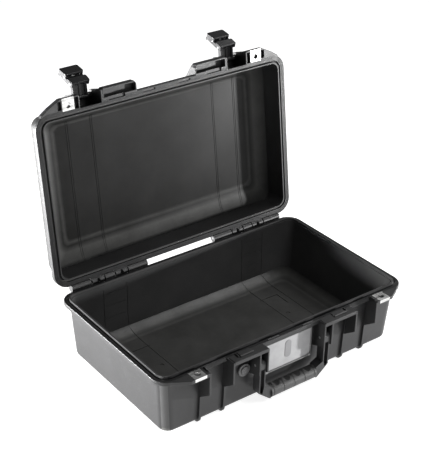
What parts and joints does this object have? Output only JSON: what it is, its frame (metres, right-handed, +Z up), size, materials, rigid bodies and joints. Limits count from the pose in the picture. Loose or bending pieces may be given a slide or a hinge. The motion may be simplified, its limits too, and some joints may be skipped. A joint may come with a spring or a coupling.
{
  "type": "hard equipment case",
  "caption": "Black moulded hard case with a ribbed hinged lid, pull latches, folding carry handle, padlock plates and pressure valve, shown open.",
  "frame": {"origin": "on the floor, under the centre of the base", "axes": "+X along the length to the user's right, +Y from the handle side towards the hinges, +Z up"},
  "size_m": [0.558, 0.4797, 0.5074],
  "materials": {
    "shell_plastic": "moulded polypropylene, fine grain",
    "plate_steel": "stamped stainless steel",
    "pin_steel": "ground pin",
    "seal_rubber": "closed-cell seal",
    "card_metal": "satin plate with a raised plain mark",
    "latch_plastic": "moulded nylon",
    "grip_rubber": "soft overmould",
    "membrane": "vent membrane",
    "spring_steel": "wound wire"
  },
  "bodies": {
    "base": {"base_shell": "shell_plastic", "valve_body": "latch_plastic", "valve_cap": "latch_plastic", "valve_membrane": "membrane", "valve_seal": "seal_rubber", "valve_nut": "latch_plastic", "card_plate": "card_metal", "card_cover": "latch_plastic", "base_padlock_plate_left": "plate_steel", "hinge_pin_left": "pin_steel", "handle_pin_left": "pin_steel", "base_padlock_plate_right": "plate_steel", "hinge_pin_right": "pin_steel", "handle_pin_right": "pin_steel"},
    "lid": {"lid_shell": "shell_plastic", "lid_seal": "seal_rubber", "lid_padlock_plate_left": "plate_steel", "latch_pivot_pin_left": "pin_steel", "lid_padlock_plate_right": "plate_steel", "latch_pivot_pin_right": "pin_steel"},
    "handle": {"handle_frame": "shell_plastic", "handle_grip": "grip_rubber"},
    "latch_arm_left_body": {"latch_arm_left": "latch_plastic", "lever_pin_left": "pin_steel"},
    "latch_lever_left_body": {"latch_lever_left": "latch_plastic", "trigger_pin_left": "pin_steel", "trigger_spring_left": "spring_steel"},
    "latch_trigger_left_body": {"latch_trigger_left": "latch_plastic"},
    "latch_arm_right_body": {"latch_arm_right": "latch_plastic", "lever_pin_right": "pin_steel"},
    "latch_lever_right_body": {"latch_lever_right": "latch_plastic", "trigger_pin_right": "pin_steel", "trigger_spring_right": "spring_steel"},
    "latch_trigger_right_body": {"latch_trigger_right": "latch_plastic"}
  },
  "joints": [
    {"name": "lid_hinge", "type": "hinge", "parent": "base", "child": "lid", "pos_m": [0, 0.1722, 0.1272], "axis": [-1, 0, 0], "range_deg": [-98, 0]},
    {"name": "handle_swing", "type": "hinge", "parent": "base", "child": "handle", "pos_m": [0, -0.171, 0.089], "axis": [-1, 0, 0], "range_deg": [0, 95]},
    {"name": "latch_arm_left", "type": "hinge", "parent": "lid", "child": "latch_arm_left_body", "pos_m": [-0.165, 0.2528, 0.46143], "axis": [-1, 0, 0], "range_deg": [-90, 0]},
    {"name": "latch_lever_left", "type": "hinge", "parent": "latch_arm_left_body", "child": "latch_lever_left_body", "pos_m": [-0.165, 0.25656, 0.48817], "axis": [-1, 0, 0], "range_deg": [-65, 0]},
    {"name": "latch_trigger_left", "type": "hinge", "parent": "latch_lever_left_body", "child": "latch_trigger_left_body", "pos_m": [-0.165, 0.27459, 0.49557], "axis": [1, 0, 0], "range_deg": [0, 8], "stiffness_Nm_per_rad": 0.05, "springref_deg": -4.58},
    {"name": "latch_arm_right", "type": "hinge", "parent": "lid", "child": "latch_arm_right_body", "pos_m": [0.165, 0.2528, 0.46143], "axis": [-1, 0, 0], "range_deg": [-90, 0]},
    {"name": "latch_lever_right", "type": "hinge", "parent": "latch_arm_right_body", "child": "latch_lever_right_body", "pos_m": [0.165, 0.25656, 0.48817], "axis": [-1, 0, 0], "range_deg": [-65, 0]},
    {"name": "latch_trigger_right", "type": "hinge", "parent": "latch_lever_right_body", "child": "latch_trigger_right_body", "pos_m": [0.165, 0.27459, 0.49557], "axis": [1, 0, 0], "range_deg": [0, 8], "stiffness_Nm_per_rad": 0.05, "springref_deg": -4.58}
  ]
}
